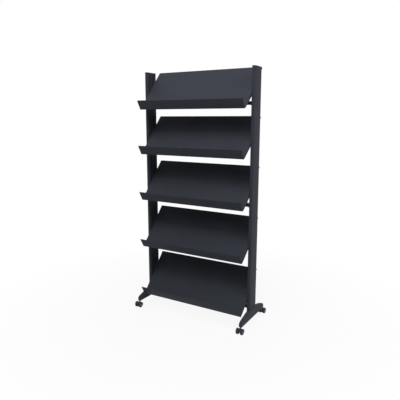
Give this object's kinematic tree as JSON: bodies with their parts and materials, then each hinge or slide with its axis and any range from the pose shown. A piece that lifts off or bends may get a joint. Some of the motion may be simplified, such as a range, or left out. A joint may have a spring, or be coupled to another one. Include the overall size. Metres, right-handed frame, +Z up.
{
  "type": "mobile display rack",
  "caption": "Mobile display rack with slotted uprights on round-nosed feet, inclined folded-sheet shelves with front lips, crossbars and twin-wheel casters.",
  "frame": {"origin": "on the floor, midway between the four casters and between the uprights", "axes": "+X to the rack's right seen from the front, -Y towards the front, +Z up"},
  "size_m": [0.797, 0.376, 1.552],
  "materials": {
    "frame_powder_coat": "fine-textured satin anthracite powder coat",
    "shelf_powder_coat": "fine-textured satin anthracite powder coat",
    "black_plastic": "moulded, fine grain",
    "caster_plastic": "moulded nylon",
    "caster_tread": "moulded polyamide, worn on the tread",
    "zinc_steel": "zinc plated"
  },
  "bodies": {
    "rack": {"upright_left": "frame_powder_coat", "upright_cap_left": "black_plastic", "foot_left": "frame_powder_coat", "upright_right": "frame_powder_coat", "upright_cap_right": "black_plastic", "foot_right": "frame_powder_coat", "crossbar_bottom": "frame_powder_coat", "crossbar_screw_bottom_left": "zinc_steel", "crossbar_screw_bottom_right": "zinc_steel", "crossbar_middle": "frame_powder_coat", "crossbar_screw_middle_left": "zinc_steel", "crossbar_screw_middle_right": "zinc_steel", "crossbar_top": "frame_powder_coat", "crossbar_screw_top_left": "zinc_steel", "crossbar_screw_top_right": "zinc_steel", "shelf_bottom": "shelf_powder_coat", "shelf_bracket_bottom_left": "frame_powder_coat", "shelf_bracket_bottom_right": "frame_powder_coat", "shelf_lower": "shelf_powder_coat", "shelf_bracket_lower_left": "frame_powder_coat", "shelf_bracket_lower_right": "frame_powder_coat", "shelf_middle": "shelf_powder_coat", "shelf_bracket_middle_left": "frame_powder_coat", "shelf_bracket_middle_right": "frame_powder_coat", "shelf_upper": "shelf_powder_coat", "shelf_bracket_upper_left": "frame_powder_coat", "shelf_bracket_upper_right": "frame_powder_coat", "shelf_top": "shelf_powder_coat", "shelf_bracket_top_left": "frame_powder_coat", "shelf_bracket_top_right": "frame_powder_coat"},
    "caster_front_left": {"caster_hood_front_left": "caster_plastic", "caster_axle_front_left": "zinc_steel", "caster_stem_front_left": "zinc_steel"},
    "wheel_front_left_inner": {"caster_wheel_front_left_inner": "caster_tread"},
    "wheel_front_left_outer": {"caster_wheel_front_left_outer": "caster_tread"},
    "caster_front_right": {"caster_hood_front_right": "caster_plastic", "caster_axle_front_right": "zinc_steel", "caster_stem_front_right": "zinc_steel"},
    "wheel_front_right_inner": {"caster_wheel_front_right_inner": "caster_tread"},
    "wheel_front_right_outer": {"caster_wheel_front_right_outer": "caster_tread"},
    "caster_rear_left": {"caster_hood_rear_left": "caster_plastic", "caster_axle_rear_left": "zinc_steel", "caster_stem_rear_left": "zinc_steel"},
    "wheel_rear_left_inner": {"caster_wheel_rear_left_inner": "caster_tread"},
    "wheel_rear_left_outer": {"caster_wheel_rear_left_outer": "caster_tread"},
    "caster_rear_right": {"caster_hood_rear_right": "caster_plastic", "caster_axle_rear_right": "zinc_steel", "caster_stem_rear_right": "zinc_steel"},
    "wheel_rear_right_inner": {"caster_wheel_rear_right_inner": "caster_tread"},
    "wheel_rear_right_outer": {"caster_wheel_rear_right_outer": "caster_tread"}
  },
  "joints": [
    {"name": "swivel_front_left", "type": "hinge", "parent": "rack", "child": "caster_front_left", "pos_m": [-0.377, -0.158, 0.043], "axis": [0, 0, 1], "continuous": true},
    {"name": "roll_front_left_inner", "type": "hinge", "parent": "caster_front_left", "child": "wheel_front_left_inner", "pos_m": [-0.36325, -0.171, 0.017], "axis": [1, 0, 0], "continuous": true},
    {"name": "roll_front_left_outer", "type": "hinge", "parent": "caster_front_left", "child": "wheel_front_left_outer", "pos_m": [-0.39075, -0.171, 0.017], "axis": [1, 0, 0], "continuous": true},
    {"name": "swivel_front_right", "type": "hinge", "parent": "rack", "child": "caster_front_right", "pos_m": [0.377, -0.158, 0.043], "axis": [0, 0, 1], "continuous": true},
    {"name": "roll_front_right_inner", "type": "hinge", "parent": "caster_front_right", "child": "wheel_front_right_inner", "pos_m": [0.36325, -0.171, 0.017], "axis": [1, 0, 0], "continuous": true},
    {"name": "roll_front_right_outer", "type": "hinge", "parent": "caster_front_right", "child": "wheel_front_right_outer", "pos_m": [0.39075, -0.171, 0.017], "axis": [1, 0, 0], "continuous": true},
    {"name": "swivel_rear_left", "type": "hinge", "parent": "rack", "child": "caster_rear_left", "pos_m": [-0.377, 0.158, 0.043], "axis": [0, 0, 1], "continuous": true},
    {"name": "roll_rear_left_inner", "type": "hinge", "parent": "caster_rear_left", "child": "wheel_rear_left_inner", "pos_m": [-0.36325, 0.171, 0.017], "axis": [1, 0, 0], "continuous": true},
    {"name": "roll_rear_left_outer", "type": "hinge", "parent": "caster_rear_left", "child": "wheel_rear_left_outer", "pos_m": [-0.39075, 0.171, 0.017], "axis": [1, 0, 0], "continuous": true},
    {"name": "swivel_rear_right", "type": "hinge", "parent": "rack", "child": "caster_rear_right", "pos_m": [0.377, 0.158, 0.043], "axis": [0, 0, 1], "continuous": true},
    {"name": "roll_rear_right_inner", "type": "hinge", "parent": "caster_rear_right", "child": "wheel_rear_right_inner", "pos_m": [0.36325, 0.171, 0.017], "axis": [1, 0, 0], "continuous": true},
    {"name": "roll_rear_right_outer", "type": "hinge", "parent": "caster_rear_right", "child": "wheel_rear_right_outer", "pos_m": [0.39075, 0.171, 0.017], "axis": [1, 0, 0], "continuous": true}
  ]
}
